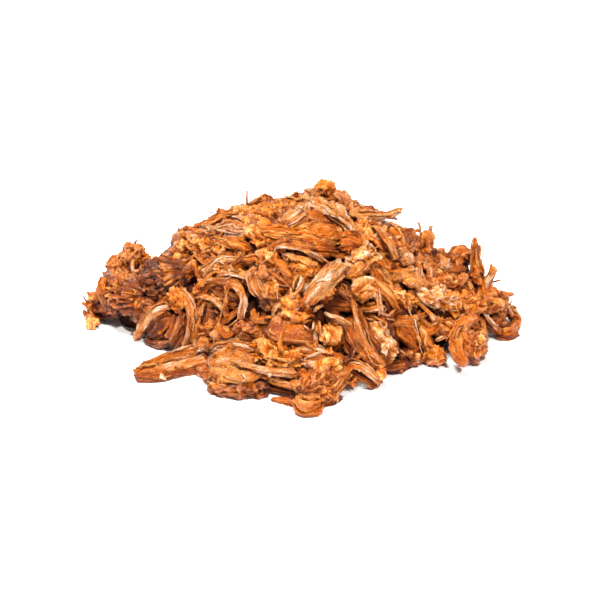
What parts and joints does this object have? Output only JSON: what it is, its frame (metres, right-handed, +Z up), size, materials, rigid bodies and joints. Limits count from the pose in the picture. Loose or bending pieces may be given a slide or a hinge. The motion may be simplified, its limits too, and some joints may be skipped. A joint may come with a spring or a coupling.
{
  "type": "pulled pork heap",
  "caption": "Loose heap of shredded roast pork in a brown glaze, with crusty chunks, folded strips and stray strands, lying bare on its flat underside.",
  "frame": {"origin": "middle of the heap's box, on the ground that it lies on", "axes": "+Z up; -Y towards the side that the picture shows; +X to the right in the picture"},
  "size_m": [0.1817, 0.1403, 0.0567],
  "materials": {
    "pulled_pork": "moist glazed meat, orange brown with pale tan ridges and dark red brown crust"
  },
  "bodies": {
    "root": {"pork_heap": "pulled_pork"}
  },
  "joints": []
}
